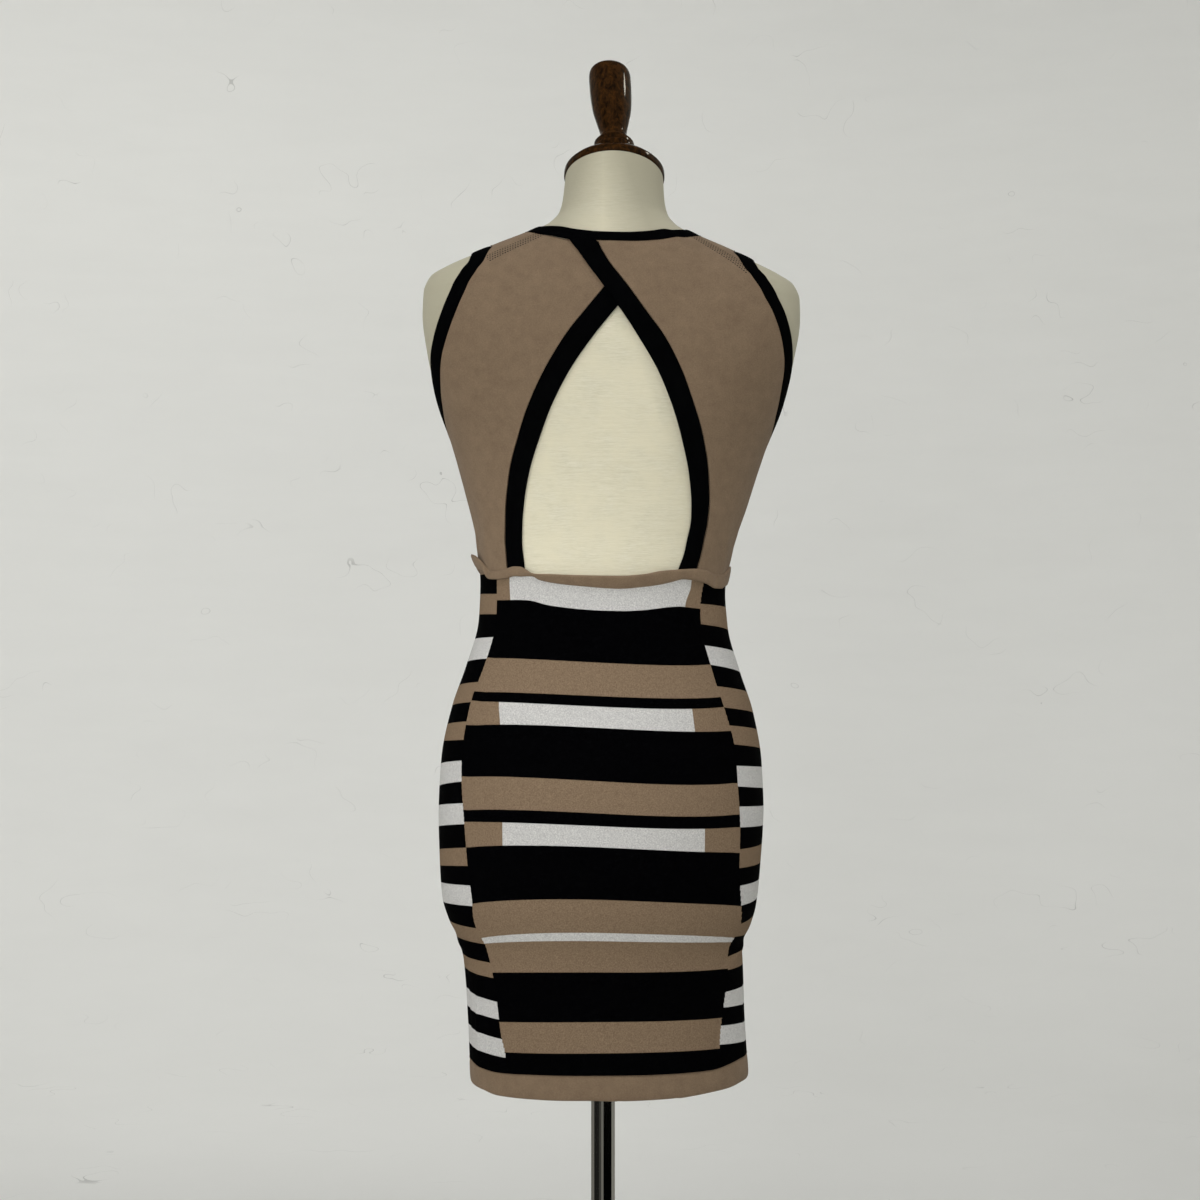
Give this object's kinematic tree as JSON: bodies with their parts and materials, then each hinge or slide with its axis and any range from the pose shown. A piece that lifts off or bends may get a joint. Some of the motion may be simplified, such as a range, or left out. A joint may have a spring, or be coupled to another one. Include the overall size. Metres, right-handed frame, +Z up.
{
  "type": "bodycon dress on a dress form",
  "caption": "Sleeveless bodycon mini dress with a wrapped, open back, banded edges and a striped pencil skirt, worn by a limbless dress form on a round stand.",
  "frame": {"origin": "centre of the stand's base on the floor, under the middle of the object's box", "axes": "+Z up along the pole, -Y is the way the open back of the dress faces, +X is the wearer's right"},
  "size_m": [0.4, 0.4, 1.5509],
  "materials": {
    "taupe_knit": "matt fine knit",
    "black_knit": "matt fine knit",
    "striped_knit": "matt fine knit in black, taupe and heathered white stripes",
    "linen": "slubbed natural linen",
    "wood": "glossy dark lacquer",
    "chrome": "polished",
    "satin_steel": "satin"
  },
  "bodies": {
    "root": {"bodice_front": "taupe_knit", "bodice_back_left": "taupe_knit", "bodice_back_right": "taupe_knit", "opening_band_left": "black_knit", "opening_band_right": "black_knit", "neck_band": "black_knit", "armhole_band_left": "black_knit", "armhole_band_right": "black_knit", "waist_band": "taupe_knit", "skirt_back": "striped_knit", "skirt_front": "striped_knit", "skirt_side_left": "striped_knit", "skirt_side_right": "striped_knit", "hem_band": "taupe_knit", "form_torso": "linen", "form_neck_cap": "wood", "form_finial": "wood", "stand_pole": "chrome", "stand_base": "satin_steel"}
  },
  "joints": []
}
